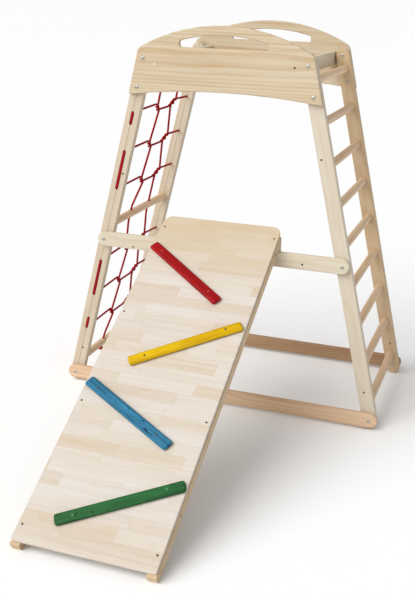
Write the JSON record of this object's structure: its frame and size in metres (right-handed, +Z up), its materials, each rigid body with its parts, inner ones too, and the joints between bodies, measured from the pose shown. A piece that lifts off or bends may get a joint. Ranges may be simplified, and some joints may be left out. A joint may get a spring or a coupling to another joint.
{
  "type": "climbing tower with ramp",
  "caption": "Wooden indoor climbing tower for small children: a hook-on ramp with coloured cleats in front, a rope net side, a ladder side and arched top panels with hand slots.",
  "frame": {"origin": "middle of the footprint, on the floor", "axes": "+Z up; the ramp runs out toward -Y; the ladder side is toward +X and the rope net side toward -X"},
  "size_m": [1.36, 1.8854, 1.52],
  "materials": {
    "post_wood": "clear satin oil on planed softwood",
    "panel_wood": "clear satin oil, grain level",
    "beam_wood": "clear satin oil",
    "rung_wood": "smooth turned hardwood",
    "net_rope": "braided polyester cord",
    "bolt_steel": "zinc plated",
    "screw_steel": "zinc plated, dull",
    "ramp_board_wood": "pale lacquer on glued staves",
    "ramp_rail_wood": "clear satin oil",
    "cleat_green_paint": "satin stain on hardwood",
    "cleat_blue_paint": "satin stain on hardwood",
    "cleat_yellow_paint": "satin stain on hardwood",
    "cleat_red_paint": "satin stain on hardwood"
  },
  "bodies": {
    "tower": {"bottom_beam_back": "beam_wood", "bottom_beam_front": "beam_wood", "bottom_bolt_back_left": "bolt_steel", "bottom_bolt_back_right": "bolt_steel", "bottom_bolt_front_left": "bolt_steel", "bottom_bolt_front_right": "bolt_steel", "mid_beam": "beam_wood", "mid_beam_bolt_left": "bolt_steel", "mid_beam_bolt_right": "bolt_steel", "net_rope_crosswise": "net_rope", "net_rope_front": "net_rope", "net_rope_rear": "net_rope", "panel_bolt_back_left_lower": "bolt_steel", "panel_bolt_back_left_upper": "bolt_steel", "panel_bolt_back_right_lower": "bolt_steel", "panel_bolt_back_right_upper": "bolt_steel", "panel_bolt_front_left_lower": "bolt_steel", "panel_bolt_front_left_upper": "bolt_steel", "panel_bolt_front_right_lower": "bolt_steel", "panel_bolt_front_right_upper": "bolt_steel", "post_back_left": "post_wood", "post_back_right": "post_wood", "post_front_left": "post_wood", "post_front_right": "post_wood", "rung_left_1": "rung_wood", "rung_left_5": "rung_wood", "rung_left_9": "rung_wood", "rung_right_1": "rung_wood", "rung_right_2": "rung_wood", "rung_right_3": "rung_wood", "rung_right_4": "rung_wood", "rung_right_5": "rung_wood", "rung_right_6": "rung_wood", "rung_right_7": "rung_wood", "rung_right_8": "rung_wood", "rung_right_9": "rung_wood", "top_crossboard_left": "beam_wood", "top_crossboard_right": "beam_wood", "top_panel_back": "panel_wood", "top_panel_front": "panel_wood"},
    "ramp": {"board_screw_left_1": "screw_steel", "board_screw_left_2": "screw_steel", "board_screw_left_3": "screw_steel", "board_screw_left_4": "screw_steel", "board_screw_right_1": "screw_steel", "board_screw_right_2": "screw_steel", "board_screw_right_3": "screw_steel", "board_screw_right_4": "screw_steel", "cleat_blue": "cleat_blue_paint", "cleat_green": "cleat_green_paint", "cleat_red": "cleat_red_paint", "cleat_yellow": "cleat_yellow_paint", "ramp_batten_bottom": "ramp_rail_wood", "ramp_batten_top": "ramp_rail_wood", "ramp_board": "ramp_board_wood", "ramp_rail_left": "ramp_rail_wood", "ramp_rail_right": "ramp_rail_wood"}
  },
  "joints": [
    {"name": "ramp_lift_off", "type": "slide", "parent": "tower", "child": "ramp", "axis": [0, 0, 1], "range_m": [0, 0.12]}
  ]
}
